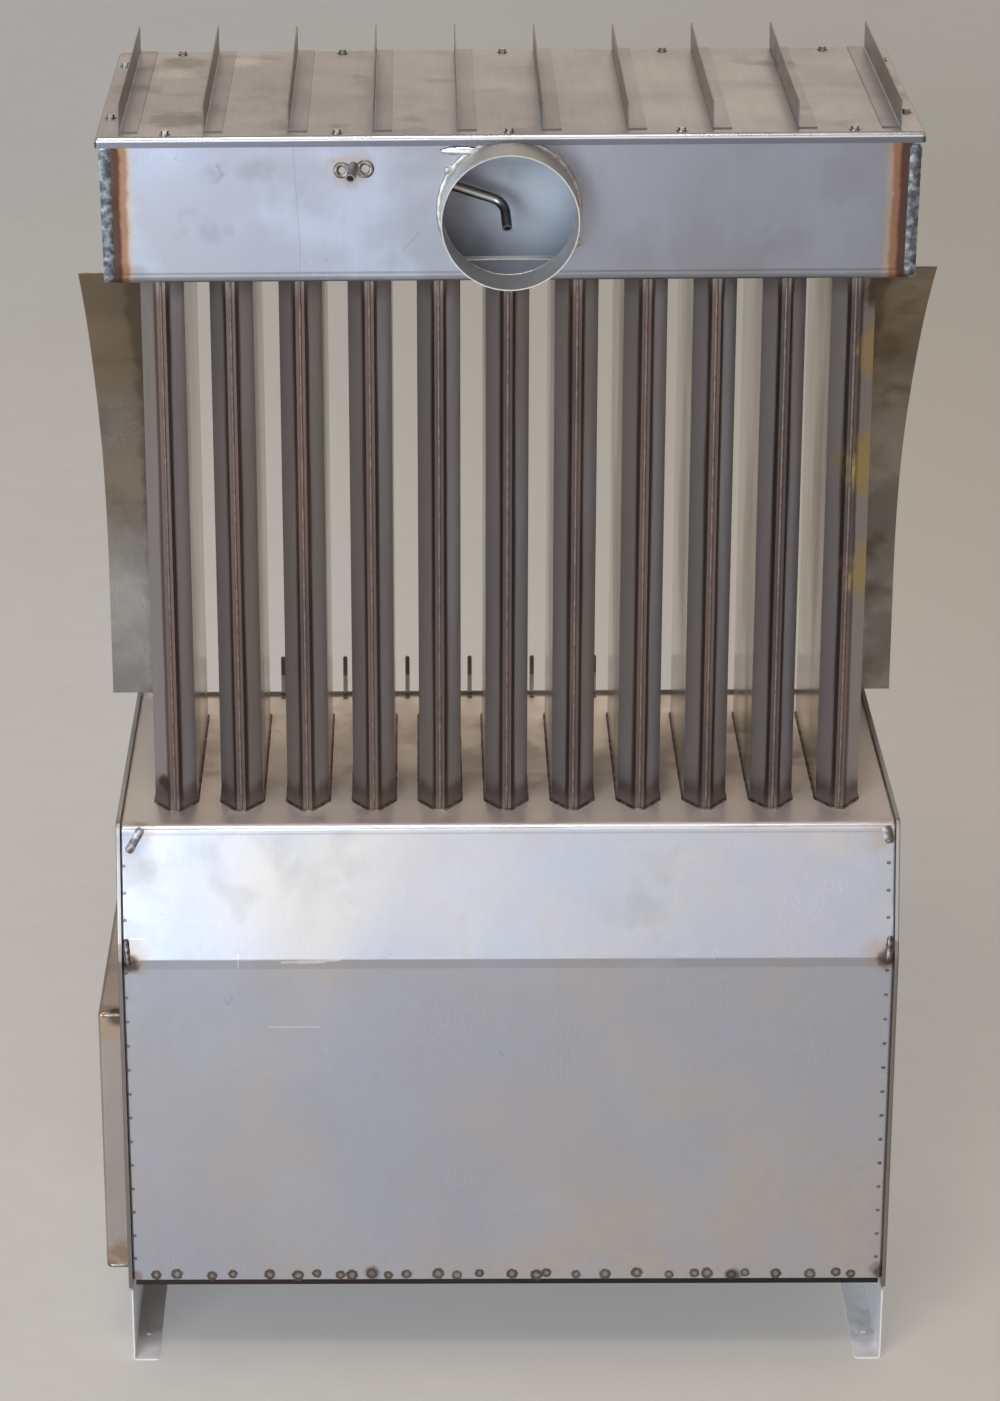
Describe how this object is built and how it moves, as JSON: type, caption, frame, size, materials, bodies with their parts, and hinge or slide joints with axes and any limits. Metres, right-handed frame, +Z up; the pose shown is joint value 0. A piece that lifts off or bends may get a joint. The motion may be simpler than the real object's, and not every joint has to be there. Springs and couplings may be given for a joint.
{
  "type": "furnace heat exchanger",
  "caption": "Stainless furnace heat exchanger: a lower box with a burner port, eleven upright cells, and a finned header with a round flue collar.",
  "frame": {"origin": "on the floor, at the centre of the four foot holes", "axes": "+Z up, -Y towards the front with the flue collar, +X to the right as seen from the front"},
  "size_m": [0.816, 0.4044, 1.29],
  "materials": {
    "stainless_sheet": "mill finish stainless sheet, lightly rolled, with faint heat tint",
    "cell_sheet": "formed stainless sheet, darker and warmer from heat",
    "collar_steel": "satin stainless pipe",
    "screw_steel": "plain stainless screw",
    "tube_steel": "drawn stainless tube"
  },
  "bodies": {
    "root": {"chamber_front_sheet": "stainless_sheet", "chamber_rear_panel": "stainless_sheet", "chamber_floor": "stainless_sheet", "side_panel_left": "stainless_sheet", "side_panel_right": "stainless_sheet", "burner_port_frame": "stainless_sheet", "header_pan": "stainless_sheet", "header_end_left": "stainless_sheet", "header_end_right": "stainless_sheet", "header_lid": "stainless_sheet", "flue_baffle": "stainless_sheet", "wing_left": "stainless_sheet", "wing_right": "stainless_sheet", "rear_tabs": "stainless_sheet", "lid_fin_01": "stainless_sheet", "lid_fin_02": "stainless_sheet", "lid_fin_03": "stainless_sheet", "lid_fin_04": "stainless_sheet", "lid_fin_05": "stainless_sheet", "lid_fin_06": "stainless_sheet", "lid_fin_07": "stainless_sheet", "lid_fin_08": "stainless_sheet", "lid_fin_09": "stainless_sheet", "lid_fin_10": "stainless_sheet", "cell_01_left": "cell_sheet", "cell_01_right": "cell_sheet", "cell_02_left": "cell_sheet", "cell_02_right": "cell_sheet", "cell_03_left": "cell_sheet", "cell_03_right": "cell_sheet", "cell_04_left": "cell_sheet", "cell_04_right": "cell_sheet", "cell_05_left": "cell_sheet", "cell_05_right": "cell_sheet", "cell_06_left": "cell_sheet", "cell_06_right": "cell_sheet", "cell_07_left": "cell_sheet", "cell_07_right": "cell_sheet", "cell_08_left": "cell_sheet", "cell_08_right": "cell_sheet", "cell_09_left": "cell_sheet", "cell_09_right": "cell_sheet", "cell_10_left": "cell_sheet", "cell_10_right": "cell_sheet", "cell_11_left": "cell_sheet", "cell_11_right": "cell_sheet", "flue_collar": "collar_steel", "lid_screws": "screw_steel", "sensing_tube": "tube_steel"}
  },
  "joints": []
}
